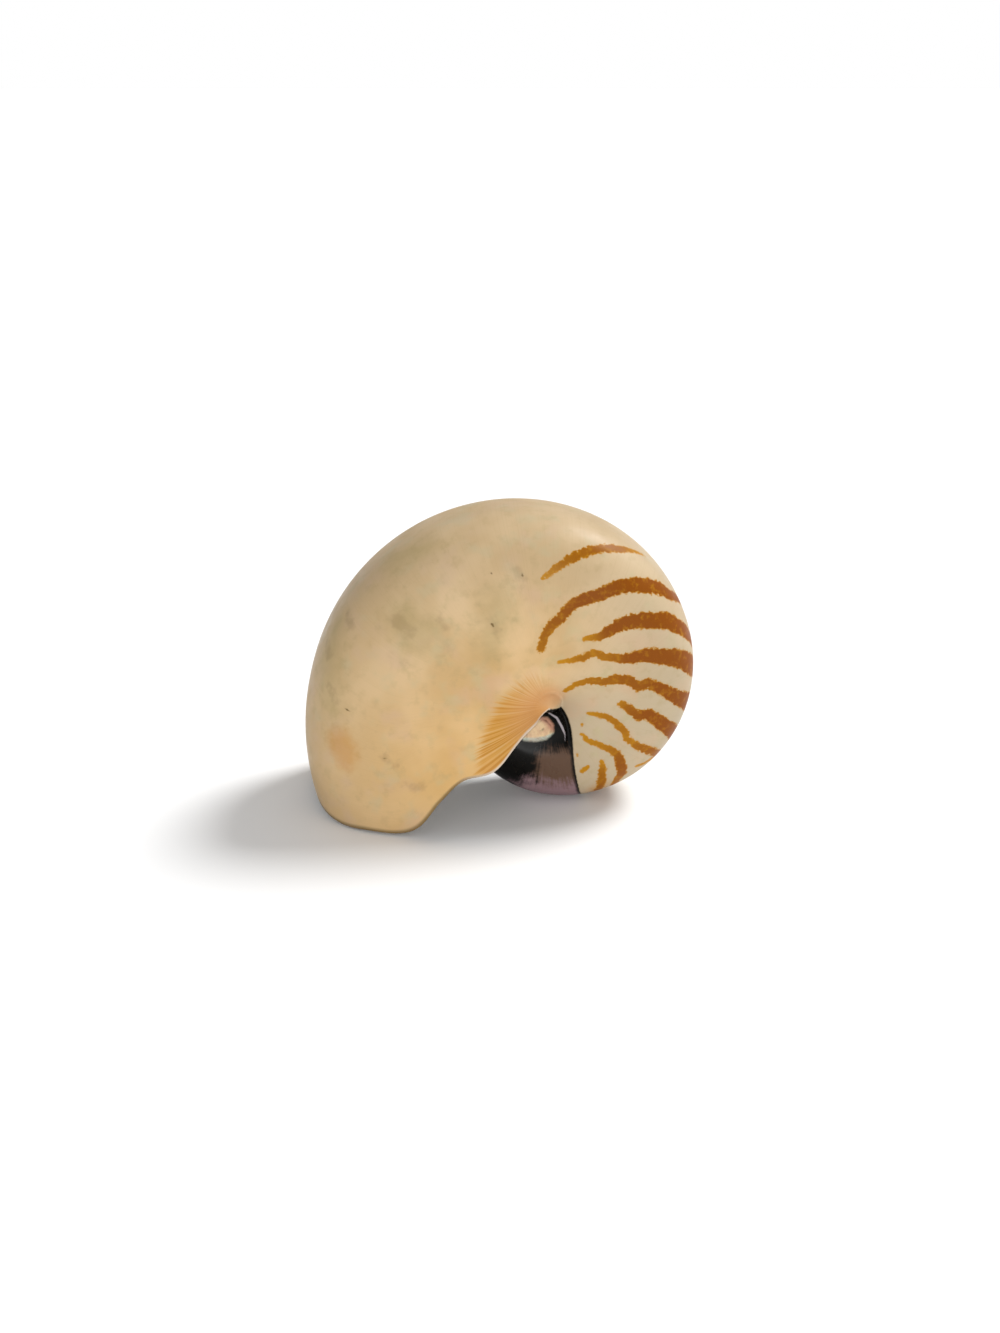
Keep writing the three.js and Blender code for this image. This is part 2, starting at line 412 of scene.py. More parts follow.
@dataclass
class Painter:
    """Lays strokes read from the photograph onto the shell, and measures how points lie to them."""

    coil: Coil
    camera: PhotoCamera
    surface: BVHTree
    rng: np.random.Generator = field(default_factory=lambda: np.random.default_rng(11))
    beads_per_stop: int = 12
    keel_stops: int = 7
    keel_bow: float = 8.0
    far_shift: float = 3.0
    far_width: float = 0.15
    far_fade: Span = (0.0, 0.5)
    limb_steps: int = 12
    points_at_once: int = 4000

    def landing(self, pixel: Pixel) -> Array:
        """The point of the shell that a pixel shows, moved in from the outline if it just misses.

        Args:
            pixel: The pixel.

        Returns:
            The point.
        """
        middle = np.array(self.camera.axis_pixel)
        spot = np.array(pixel, float)
        inward = (middle - spot) / np.linalg.norm(middle - spot)
        for _ in range(self.limb_steps):
            ray = Vector(self.camera.ray(spot))
            hit = self.surface.ray_cast(Vector(self.camera.position()), ray)[0]
            if hit is not None:
                return np.array(hit)
            spot = spot + inward
        raise ValueError(f"pixel {pixel} doesn't fall on the shell")

    def finely(self, stops: Array) -> Array:
        """Rows of numbers, with many more between them."""
        fine = np.linspace(0, len(stops) - 1, self.beads_per_stop * len(stops))
        return np.stack([np.interp(fine, np.arange(len(stops)), c) for c in stops.T], axis=1)

    def route(self, stroke: Stroke) -> Array:
        """A stroke's way over the shell.

        Args:
            stroke: The stroke.

        Returns:
            Rows of an angle, a place across and a width.
        """
        stops = np.array([self.coil.address(self.landing(p)) for p in stroke.line])
        along = np.linspace(0, 1, len(stroke.widths))
        widths = np.interp(np.linspace(0, 1, len(stops)), along, stroke.widths)
        if stroke.crosses_keel:
            edge_angle, edge_across = stops[-1]
            slope = (edge_angle - stops[-3, 0]) / (edge_across - stops[-3, 1])
            bow = np.clip(slope * edge_across / 2, 0.0, self.keel_bow)
            share = np.linspace(1, -1, self.keel_stops + 2)[1:-1]
            middle = np.stack([edge_angle - bow * (1 - share ** 2), edge_across * share], axis=1)
            stops = np.vstack([stops, middle])
            widths = np.concatenate([widths, np.full(len(middle), widths[-1])])
        return self.finely(np.column_stack([stops, widths]))

    def beads(self, strokes: tuple[Stroke, ...]) -> tuple[Array, Array]:
        """Points along strokes on both flanks.

        Args:
            strokes: The strokes.

        Returns:
            The points, and the half width at each.
        """
        points, halves = [], []
        for stroke in strokes:
            route = self.route(stroke)
            for side in Side:
                angle, across, wide = route.T
                if side is Side.FAR:
                    away = smoothstep(*self.far_fade, -across)
                    angle = angle + self.rng.uniform(-1, 1) * self.far_shift * away
                    wide = wide * (1 + self.rng.uniform(-1, 1) * self.far_width * away)
                    across = -across
                points.append(self.coil.outside(angle, across))
                halves.append(wide / 2)
        return np.vstack(points), np.concatenate(halves)

    def spots(self, strokes: tuple[Stroke, ...]) -> tuple[Array, Array]:
        """Points along small strokes and their mirror images.

        Args:
            strokes: The strokes.

        Returns:
            The points, and the half width at each.
        """
        points, halves = [], []
        for stroke in strokes:
            line = self.finely(np.array([self.landing(p) for p in stroke.line]))
            along = np.linspace(0, 1, len(stroke.widths))
            wide = np.interp(np.linspace(0, 1, len(line)), along, stroke.widths)
            points += [line, line * (1, -1, 1)]
            halves += [wide / 2, wide / 2]
        return np.vstack(points), np.concatenate(halves)

    def depth(self, beads: Array, halves: Array, points: Array) -> tuple[Array, Array]:
        """Measures how points lie to the strokes.

        Args:
            beads: Points along the strokes.
            halves: The half width at each.
            points: The points to measure.

        Returns:
            How far inside the nearest stroke each point lies, in millimetres, negative outside, and
            that stroke's half width there.
        """
        best = np.empty(len(points))
        half = np.empty(len(points))
        for start in range(0, len(points), self.points_at_once):
            stop = start + self.points_at_once
            part = points[start:stop]
            inside = halves - np.linalg.norm(part[:, None, :] - beads[None, :, :], axis=2)
            nearest = inside.argmax(axis=1)
            best[start:stop] = inside[np.arange(len(part)), nearest]
            half[start:stop] = halves[nearest]
        return best, half


@dataclass
class ShellSkin:
    """The shell's fine mesh: one closed skin over the outside, the lip, the chamber and its end."""

    coil: Coil
    wall: float = 2.0
    lip_wall: float = 1.3
    lip_thins_over: float = 20.0
    fillet: float = 3.0
    fillet_power: float = 4.0
    chamber_length: float = 174.0
    septum_dish: float = 17.0
    row_step: float = 1.5
    columns: int = 150
    cliff_columns: int = 8
    rim_rows: int = 3
    septum_rows: int = 14
    knob_top: float = 24.5
    knob_rows: int = 8
    nacre_from: float = -215.0
    points: list[Array] = field(default_factory=list)
    faces: list[Array] = field(default_factory=list)
    zones: list[Array] = field(default_factory=list)
    knobs: list[Array] = field(default_factory=list)
    rims: list[Array] = field(default_factory=list)
    outer: Array = field(init=False)
    growth: Array = field(init=False)
    count: int = 0

    def add(self, points: Array) -> Array:
        """Adds points.

        Args:
            points: The points, in rows of any shape.

        Returns:
            Their numbers, in the same rows.
        """
        flat = points.reshape(-1, 3)
        numbers = np.arange(self.count, self.count + len(flat))
        self.points.append(flat)
        self.count += len(flat)
        return numbers.reshape(points.shape[:-1])

    def at(self, numbers: Array) -> Array:
        """The points with these numbers."""
        return np.vstack(self.points)[numbers]

    def join(self, rows: Array, zone: int) -> None:
        """Joins neighbouring rows of vertices with quads.

        Args:
            rows: The rows' vertex numbers.
            zone: The material zone of the new faces.
        """
        corners = [rows[:-1, :-1], rows[:-1, 1:], rows[1:, 1:], rows[1:, :-1]]
        quads = np.stack(corners, axis=-1).reshape(-1, 4)
        self.faces.append(quads)
        self.zones.append(np.full(len(quads), zone))

    def acrosses(self) -> Array:
        """The places across of the columns."""
        return np.linspace(-1, 1, self.columns + 1)

    def inside(self, growth: float) -> Array:
        """A row of points on the inside of the wall.

        Args:
            growth: The growth line's angle at the keel.

        Returns:
            The points, from the near side to the far one.
        """
        coil = self.coil
        across = self.acrosses()
        whole = coil.keel(growth)
        edge = coil.column_radius + self.wall + self.fillet
        reach = coil.turn_at(whole, edge) / coil.turn_at(whole, coil.column_radius)
        over = across * (1 - (1 - reach) * across ** self.fillet_power)
        angle = coil.line_angle(np.full_like(across, growth), over)
        keel = coil.keel(angle)
        turn = over * coil.turn_at(keel, coil.column_radius)
        from_axis, sideways = coil.section(keel, turn)
        ahead, ahead_sideways = coil.section(keel, turn + TANGENT_STEP)
        along = np.stack([ahead - from_axis, ahead_sideways - sideways])
        along /= np.linalg.norm(along, axis=0)
        thin = smoothstep(coil.lip_growth - self.lip_thins_over, coil.lip_growth, growth)
        wall = self.wall + (self.lip_wall - self.wall) * thin
        return coil.place(angle, from_axis - along[1] * wall, sideways + along[0] * wall)

    def bend(self, start: Array, corner: Array, end: Array) -> Array:
        """Points strictly between two others, on a curve that bends towards a corner."""
        t = np.linspace(0, 1, self.cliff_columns + 1)[1:-1, None]
        return (1 - t) ** 2 * start + 2 * t * (1 - t) * corner + t ** 2 * end

    def lip_row(self, rows: Array) -> Array:
        """The lip's outer edge, carried down beside the axis to the whorl before on both sides.

        Args:
            rows: The outside's rows of vertex numbers.

        Returns:
            The edge's vertex numbers.
        """
        lip, foot = rows[-1], rows[-1 - round(360 / self.row_step)]
        ends = []
        for pair in ([foot[0], lip[0]], [lip[-1], foot[-1]]):
            a, b = self.at(pair)
            ends.append(self.add(self.bend(a, (a + b) / 2, b)))
        self.rims += ends
        return np.concatenate([[foot[0]], ends[0], lip, ends[1], [foot[-1]]])

    def inner_row(self, growth: float, foot: Array) -> Array:
        """A row inside the wall, whose two ends stand on the whorl before.

        Args:
            growth: The growth line's angle at the keel.
            foot: The row of the whorl before that its ends stand on.

        Returns:
            The row's vertex numbers.
        """
        row = self.inside(growth)
        column = self.coil.column_radius + self.wall
        near, far = self.at(foot[[0, -1]])
        ends = []
        for first, last, corner in ((near, row[0], row[0]), (row[-1], far, row[-1])):
            share = column / math.hypot(corner[0], corner[2])
            ends.append(self.add(self.bend(first, corner * (share, 1, share), last)))
        return np.concatenate([[foot[0]], ends[0], self.add(row), ends[1], [foot[-1]]])

    def rim(self, outer: Array, inner: Array) -> Array:
        """Rows over the rounded front of the lip.

        Args:
            outer: The vertex numbers of the lip's outer edge.
            inner: Those of its inner edge.

        Returns:
            The rows, from the outer edge to the inner one.
        """
        a, b = self.at(outer), self.at(inner)
        rows = [outer]
        same = outer == inner
        for t in np.linspace(0, 1, self.rim_rows + 2)[1:-1]:
            middle = a + (b - a) * (1 - math.cos(math.pi * t)) / 2
            radius = np.maximum(np.hypot(middle[:, 0], middle[:, 2]), self.coil.column_radius)
            forward = middle[:, ::-1] * (-1, 0, 1) / radius[:, None]
            row = self.add(middle + forward * self.lip_wall / 2 * math.sin(math.pi * t))
            self.rims.append(row)
            rows.append(np.where(same, outer, row))
        return np.array(rows + [inner])

    def septum(self, inner: Array, outer: Array) -> Array:
        """Rows over the last septum, a dish that is hollow towards the aperture.

        Args:
            inner: The vertex numbers of the chamber's last row.
            outer: Those of the outside's first row, where the two skins meet.

        Returns:
            The rows, from the chamber's wall to the whorl before.
        """
        opposite = outer[np.clip(np.arange(len(inner)) - self.cliff_columns, 0, self.columns)]
        a, b = self.at(inner), self.at(opposite)
        same = inner == opposite
        rows = [inner]
        sideways = np.sin(np.pi * np.arange(len(inner)) / (len(inner) - 1))
        for n in range(1, self.septum_rows):
            share = n / self.septum_rows
            back = np.radians(self.septum_dish * math.sin(math.pi * share) * sideways)
            p = a + (b - a) * share
            c, s = np.cos(back), np.sin(back)
            turned = np.stack([p[:, 0] * c + p[:, 2] * s, p[:, 1], p[:, 2] * c - p[:, 0] * s], axis=1)
            rows.append(np.where(same, inner, self.add(turned)))
        return np.array(rows + [opposite])

    def knob(self, loop: Array, side: float) -> None:
        """Closes the hole that a loop of vertices leaves round the axis with a knob of callus.

        Args:
            loop: The vertex numbers round the hole.
            side: -1 on the near side, 1 on the far side.
        """
        edge = self.at(loop)
        rows = [loop]
        for share in np.linspace(1, 0, self.knob_rows + 1)[1:-1]:
            height = side * self.knob_top * (1 - share ** 2) + edge[:, 1] * share ** 2
            rows.append(self.add(np.stack([edge[:, 0] * share, height, edge[:, 2] * share], axis=1)))
        hub = self.add(np.array([[0.0, side * self.knob_top, 0.0]]))
        self.knobs += rows[1:] + [hub]
        rows.append(np.full(len(loop), hub[0]))
        rings = np.array(rows)[:, ::-1]
        self.join(np.hstack([rings, rings[:, :1]]), Zone.OUTSIDE.value)

    def build(self) -> None:
        """Makes all points and faces, and keeps the outside's rows and the growth at each."""
        coil = self.coil
        turn_rows = round(360 / self.row_step)
        chamber_rows = round(self.chamber_length / self.row_step)
        growth = coil.lip_growth - self.row_step * np.arange(turn_rows + chamber_rows, -1, -1)
        across = self.acrosses()
        outer = self.add(coil.outside(*np.broadcast_arrays(growth[:, None], across)))
        deep = int(np.searchsorted(growth, self.nacre_from))
        self.join(outer[:deep + 1], Zone.NACRE.value)
        self.join(outer[deep:], Zone.OUTSIDE.value)

        lip = self.lip_row(outer)
        inner = [self.inner_row(growth[-1 - n], outer[chamber_rows - n])
                 for n in range(chamber_rows + 1)]
        self.join(self.rim(lip, inner[0]), Zone.OUTSIDE.value)
        self.join(np.array(inner), Zone.NACRE.value)
        self.join(self.septum(inner[-1], outer[0]), Zone.NACRE.value)

        visible = outer[chamber_rows:]
        cliff = self.cliff_columns
        self.knob(np.concatenate([visible[::-1, 0], lip[1:cliff]]), Side.NEAR.value)
        self.knob(np.concatenate([visible[:, -1], lip[self.columns + cliff + 1:-1]]), Side.FAR.value)
        self.outer, self.growth = outer, growth

    def polygons(self) -> tuple[list[list[int]], Array]:
        """The faces, without repeated corners.

        Returns:
            Each face's vertex numbers, and its material zone.
        """
        quads = [list(dict.fromkeys(quad)) for quad in np.vstack(self.faces).tolist()]
        kept = [n for n, quad in enumerate(quads) if len(quad) > 2]
        return [quads[n] for n in kept], np.concatenate(self.zones)[kept]


def linear(hex_colour: str) -> tuple[float, float, float, float]:
    """Turns an sRGB hex colour into the linear colour that shaders take.

    Args:
        hex_colour: Six hex digits.

    Returns:
        Red, green, blue and alpha.
    """
    values = [int(hex_colour[k:k + 2], 16) / 255 for k in (0, 2, 4)]
    curved = [v / 12.92 if v <= 0.04045 else ((v + 0.055) / 1.055) ** 2.4 for v in values]
    return curved[0], curved[1], curved[2], 1.0


def add(tree: bpy.types.NodeTree, kind: str, inputs: dict | None = None,
        **settings: object) -> bpy.types.Node:
    """Adds a node with its settings and links.

    Args:
        tree: The node tree.
        kind: The node's type name.
        inputs: For each input's name or number, a value, or a node or an output to link from.
        **settings: The node's own properties.

    Returns:
        The new node.
    """
    node = tree.nodes.new(kind)
    for name, value in settings.items():
        setattr(node, name, value)
    for key, value in (inputs or {}).items():
        if isinstance(value, (bpy.types.Node, bpy.types.NodeSocket)):
            tree.links.new(getattr(value, "outputs", [value])[0], node.inputs[key])
        else:
            node.inputs[key].default_value = value
    return node


class Rise(Enum):
    """How a share rises between its two ends."""

    SOFT = "SMOOTHSTEP"
    EVEN = "LINEAR"


@dataclass(frozen=True)
class Cover:
    """A share that goes from least to most as a measure goes from low to high.

    The measure is one of the mesh's own or a noise, and other noises may move it to and fro.
    """

    measure: str
    low: float
    high: float
    most: float = 1.0
    least: float = 0.0
    moved_by: tuple[tuple[str, float], ...] = ()
    rise: Rise = Rise.SOFT


@dataclass(frozen=True)
class Tone:
    """A colour or a stack of tones, laid over those before it as far as its covers reach."""

    colour: "str | tuple[Tone, ...]"
    cover: Cover | None = None
    within: tuple[Cover, ...] = ()


@dataclass(frozen=True)
class Noise:
    """A noise, with its lumps' size in millimetres, or in the unit of the measure it is along."""

    name: str
    size: float
    detail: float = 3.0
    rough: float = 0.5
    along: str = ""


@dataclass
class Mixer:
    """Mixes tones in a node tree, by the mesh's measures and by noises."""

    tree: bpy.types.NodeTree
    values: dict[str, bpy.types.Node] = field(default_factory=dict)

    def read(self, name: str) -> bpy.types.Node | bpy.types.NodeSocket:
        """A value that was added under a name, or else the mesh's own measure of that name."""
        added = self.values.get(name)
        return added or add(self.tree, "ShaderNodeAttribute", attribute_name=name).outputs["Fac"]

    def spread(self, noises: tuple[Noise, ...]) -> None:
        """Adds noises.

        Args:
            noises: The noises.
        """
        place = add(self.tree, "ShaderNodeTexCoord").outputs["Object"]
        for noise in noises:
            kind, inputs = "3D", {"Vector": place, "Scale": 1 / (noise.size * MM)}
            if noise.along:
                kind, inputs = "1D", {"W": self.read(noise.along), "Scale": 1 / noise.size}
            inputs |= {"Detail": noise.detail, "Roughness": noise.rough}
            node = add(self.tree, "ShaderNodeTexNoise", inputs, noise_dimensions=kind)
            self.values[noise.name] = node

    def moved(self, value: object, noise: str, amount: object) -> bpy.types.Node:
        """A value moved to and fro by a noise's swing about its middle.

        Args:
            value: The value, as a number or a node.
            noise: The noise's name.
            amount: How far a whole swing moves it, as a number or a node.

        Returns:
            The moved value.
        """
        swing = add(self.tree, "ShaderNodeMath", {0: self.read(noise), 1: 0.5}, operation="SUBTRACT")
        inputs = {0: swing, 1: amount, 2: value}
        return add(self.tree, "ShaderNodeMath", inputs, operation="MULTIPLY_ADD")

    def share(self, cover: Cover) -> bpy.types.Node:
        """The share that a cover gives.

        Args:
            cover: The cover.

        Returns:
            The share, between the cover's least and most.
        """
        value = self.read(cover.measure)
        for noise, amount in cover.moved_by:
            value = self.moved(value, noise, amount)
        inputs = {"Value": value, "From Min": cover.low, "From Max": cover.high,
                  "To Min": cover.least, "To Max": cover.most}
        kind = cover.rise.value
        return add(self.tree, "ShaderNodeMapRange", inputs, interpolation_type=kind)

    def stack(self, tones: tuple[Tone, ...]) -> bpy.types.NodeSocket:
        """Lays tones over one another.

        Args:
            tones: The tones, the ground first.

        Returns:
            The mixed colour.
        """
        mixed = linear(tones[0].colour)
        for tone in tones[1:]:
            over = linear(tone.colour) if isinstance(tone.colour, str) else self.stack(tone.colour)
            reach = self.share(tone.cover)
            for cover in tone.within:
                inputs = {0: reach, 1: self.share(cover)}
                reach = add(self.tree, "ShaderNodeMath", inputs, operation="MULTIPLY")
            layers = {"Factor": reach, 6: mixed, 7: over}
            mixed = add(self.tree, "ShaderNodeMix", layers, data_type="RGBA").outputs[2]
        return mixed


@dataclass(frozen=True)
class OuterLayer:
    """Prismatic shell layer: opaque cream aragonite, grown, worn smooth, with a soft satin gloss.

    It gives the eye a warm cream body with faint growth lines and stains, rust stripes with
    ragged edges, a peach fan beside the umbilicus, and the black film on the whorl before.
    The growth lines are drawn a little coarser than real ones, so that they show.
    """

    cream: str = "CFAF82"
    tan: str = "BF9D6B"
    honey: str = "D3A55E"
    pale: str = "B0A28A"
    rosy: str = "C4A182"
    sage: str = "B2A880"
    olive: str = "9C8B5E"
    blush: str = "B98540"
    # Dark marks and smudges; also the painted contact shadow on the lip's lobes.
    mark: str = "6E5A38"
    straw: str = "C48F40"
    amber: str = "AD711F"
    peach: str = "C99260"
    rust: str = "814402"
    ochre: str = "B07A12"
    black: str = "080705"
    umber: str = "5C4638"
    lilac: str = "866C70"
    # Colour of the painted highlight along the film's step.
    glint_highlight: str = "B9B0B4"
    chalk: str = "E2C499"
    # Pinkish tint for the callus's grain, also the colour of its painted top shade.
    flesh_and_shade: str = "BE8B72"
    # Colour of the painted highlight on the callus's lower edge.
    callus_highlight: str = "C3CAB8"
    rim: str = "CCBFAE"
    fray_mm: float = 3.2
    bump_mm: float = 0.4
    roughness: float = 0.42
    roughness_swing: Span = (-0.06, 0.08)
    film_gloss: float = 0.12
    noises: tuple[Noise, ...] = (
        Noise("growth_lines", 0.8, along="growth_mm"),
        Noise("streaks", 3.125, 3.0, 0.7, "ray_angle"),
        Noise("broad_patch", 30.8, 3.0, 0.55),
        Noise("rosy_patch", 14.0),
        Noise("sage_patch", 9.8),
        Noise("fine_patch", 14.0 / 3, 5.0, 0.6),
        Noise("smudge_grain", 3.0),
        Noise("edge_grain", 1.5, 3.0, 0.7),
        Noise("rust_grain", 2.5, 4.0, 0.6),
        Noise("film_grain", 5.0, 4.0, 0.65),
        Noise("callus_grain", 2.6, 4.0, 0.6),
        Noise("wear", 9.0, 4.0, 0.6),
        Noise("pits", 1.4),
    )

    def body(self) -> tuple[Tone, ...]:
        """The cream ground with its tints, stains, smudges, growth lines and streaked fan.

        Returns:
            The tones, the ground first.
        """
        uneven = (("streaks", 11.0),)
        strong = Cover("fan_strength", 0.0, 1.0, rise=Rise.EVEN)
        return (
            Tone(self.cream),
            Tone(self.tan, Cover("broad_patch", 0.38, 0.62)),
            Tone(self.pale, Cover("youth", 0.0, 1.0, 0.8, rise=Rise.EVEN)),
            Tone(self.honey, Cover("ray_angle", 140.0, 215.0, 0.5)),
            Tone(self.rosy, Cover("rosy_patch", 0.5, 0.72, 0.5)),
            Tone(self.sage, Cover("sage_patch", 0.52, 0.72, 0.42)),
            Tone(self.pale, Cover("keel_share", 0.25, 0.9, 0.45)),
            Tone(self.olive, Cover("fine_patch", 0.5, 0.72, 0.22)),
            Tone(self.olive, Cover("stain", -6.0, 6.0, 0.42, moved_by=(("fine_patch", 14.0),))),
            Tone(self.mark, Cover("smudge", -1.4, 1.6, 0.24, moved_by=(("smudge_grain", 6.0),))),
            Tone(self.blush, Cover("blush", -3.0, 4.0, 0.55, moved_by=(("fine_patch", 8.0),))),
            Tone(self.olive, Cover("growth_lines", 0.5, 0.75, 0.1)),
            Tone(self.straw, Cover("fan", -2.0, 3.0, moved_by=uneven),
                 (strong, Cover("streaks", 0.36, 0.46, 0.9, 0.45))),
            Tone(self.amber, Cover("fan", 0.0, 4.0, 0.7, moved_by=uneven),
                 (strong, Cover("streaks", 0.49, 0.58))),
            Tone(self.peach, Cover("fan_heart", 0.0, 1.0, 0.6, rise=Rise.EVEN)),
        )

    def stripe(self) -> Tone:
        """The rust stripes, ochre where they are narrow, in specks and at their edges.

        Returns:
            Their tone.
        """
        ragged = (("fray", self.fray_mm),)
        stack = (
            Tone(self.ochre),
            Tone(self.rust, Cover("stripe_half", 0.5, 2.4)),
            Tone(self.ochre, Cover("rust_grain", 0.5, 0.75, 0.5)),
            Tone(self.ochre, Cover("stripe", -0.1, 0.6, 0.0, 1.0, ragged)),
        )
        return Tone(stack, Cover("stripe", -0.3, 0.25, moved_by=ragged))

    def film(self) -> Tone:
        """The film on the whorl before: black, worn to umber and lilac, with a painted highlight along
        its step.

        Returns:
            Its tone.
        """
        smeared = (("smear", 1.6),)
        ragged = (("fray", self.fray_mm * 0.35),)
        stack = (
            Tone(self.black),
            Tone(self.umber, Cover("film_fade", 0.3, 0.8, moved_by=smeared)),
            Tone(self.lilac, Cover("film_pale", 0.3, 0.9, moved_by=smeared)),
            Tone(self.black, Cover("film", 0.4, 2.0, 0.0, 1.0, ragged + smeared)),
            # Painted highlight along the film's step.
            Tone(self.glint_highlight, Cover("glint", -0.2, 0.2, 0.85)),
        )
        return Tone(stack, Cover("film", -0.3, 0.3, moved_by=ragged))

    def callus(self) -> Tone:
        """The umbilicus's chalky callus, with painted shade on top and a painted highlight below.

        Returns:
            Its tone.
        """
        stack = (
            Tone(self.chalk),
            # Painted shade over the callus's top.
            Tone(self.flesh_and_shade, Cover("callus_top_shade", -1.2, 0.8)),
            # Painted highlight along the callus's lower edge.
            Tone(self.callus_highlight, Cover("callus_highlight_band", -0.6, 0.4)),
            Tone(self.flesh_and_shade, Cover("callus_grain", 0.42, 0.7, 0.5)),
        )
        return Tone(stack, Cover("callus", -0.5, 0.9, moved_by=(("fray", self.fray_mm * 0.5),)))

    def lip(self) -> Tone:
        """The lip's edge, pale by the umbilicus, with painted contact shadow on the lobes."""
        # Painted contact shadow: the lip's edge is darkened along the lobes that stand on the floor.
        far = Cover("lobe_contact_shade", 0.0, 1.0, rise=Rise.EVEN)
        return Tone((Tone(self.rim), Tone(self.mark, far)), Cover("lip_edge", 0.0, 1.0, 0.85))

    def build(self) -> bpy.types.Material:
        """Makes the material.

        Returns:
            The material.
        """
        material = bpy.data.materials.new("aragonite_outer_layer")
        material.use_nodes = True
        tree = material.node_tree
        tree.nodes.clear()
        mixer = Mixer(tree)
        mixer.spread(self.noises)
        wide = mixer.share(Cover("stripe_half", 0.3, 1.8, 1.0, 0.4))
        lines = mixer.read("growth_lines")
        mixed = {0: mixer.read("film_grain"), 1: 0.7,
                 2: add(tree, "ShaderNodeMath", {0: lines, 1: 0.3}, operation="MULTIPLY")}
        mixer.values["smear"] = add(tree, "ShaderNodeMath", mixed, operation="MULTIPLY_ADD")
        mixer.values["fray"] = mixer.moved(0.5, "edge_grain", wide)

        spots = Tone(self.mark, Cover("mark", -0.3, 0.2))
        tones = (self.stripe(), self.film(), self.callus(), spots, self.lip())
        colour = mixer.stack(self.body() + tones)

        low, high = self.roughness_swing
        worn = mixer.share(Cover("wear", 0.3, 0.7, self.roughness + high, self.roughness + low))
        glossy = mixer.share(Cover("film", 0.0, 1.0, self.film_gloss))
        rough = add(tree, "ShaderNodeMath", {0: worn, 1: glossy}, operation="SUBTRACT")
        pits = add(tree, "ShaderNodeMath", {0: mixer.read("pits"), 1: 0.5}, operation="MULTIPLY")
        height = add(tree, "ShaderNodeMath", {0: lines, 1: 0.5, 2: pits}, operation="MULTIPLY_ADD")
        bump = add(tree, "ShaderNodeBump", {
            "Height": height, "Strength": 0.12, "Distance": self.bump_mm * MM})
        shader = add(tree, "ShaderNodeBsdfPrincipled", {
            "Base Color": colour, "Roughness": rough, "Normal": bump, "IOR": 1.53,
            "Specular IOR Level": 0.1, "Coat Weight": 0.02, "Coat Roughness": 0.3})
        add(tree, "ShaderNodeOutputMaterial", {"Surface": shader})
        return material


@dataclass(frozen=True)
class Nacre:
    """Mother-of-pearl: stacked aragonite tablets, a pale lustre with pink and green tints."""

    pearl: str = "E9E2D6"
    rose: str = "E3C6BC"
    sea: str = "C9D6C8"
    roughness: float = 0.26
    cloud_mm: float = 22.0

    def build(self) -> bpy.types.Material:
        """Makes the material.

        Returns:
            The material.
        """
        material = bpy.data.materials.new("nacre")
        material.use_nodes = True
        tree = material.node_tree
        tree.nodes.clear()
        place = add(tree, "ShaderNodeTexCoord").outputs["Object"]
        clouds = add(tree, "ShaderNodeTexNoise", {
            "Vector": place, "Scale": 1 / (self.cloud_mm * MM), "Detail": 3.0, "Distortion": 0.6})
        ramp = add(tree, "ShaderNodeValToRGB", {"Fac": clouds})
        ramp.color_ramp.elements[0].position = 0.35
        ramp.color_ramp.elements[0].color = linear(self.rose)
        ramp.color_ramp.elements[1].position = 0.66
        ramp.color_ramp.elements[1].color = linear(self.sea)
        ramp.color_ramp.elements.new(0.5).color = linear(self.pearl)
        bump = add(tree, "ShaderNodeBump", {"Height": clouds, "Strength": 0.1, "Distance": MM})
        shader = add(tree, "ShaderNodeBsdfPrincipled", {
            "Base Color": ramp, "Roughness": self.roughness, "IOR": 1.6, "Normal": bump,
            "Coat Weight": 0.4, "Coat Roughness": 0.12, "Sheen Weight": 0.15})
        add(tree, "ShaderNodeOutputMaterial", {"Surface": shader})
        return material


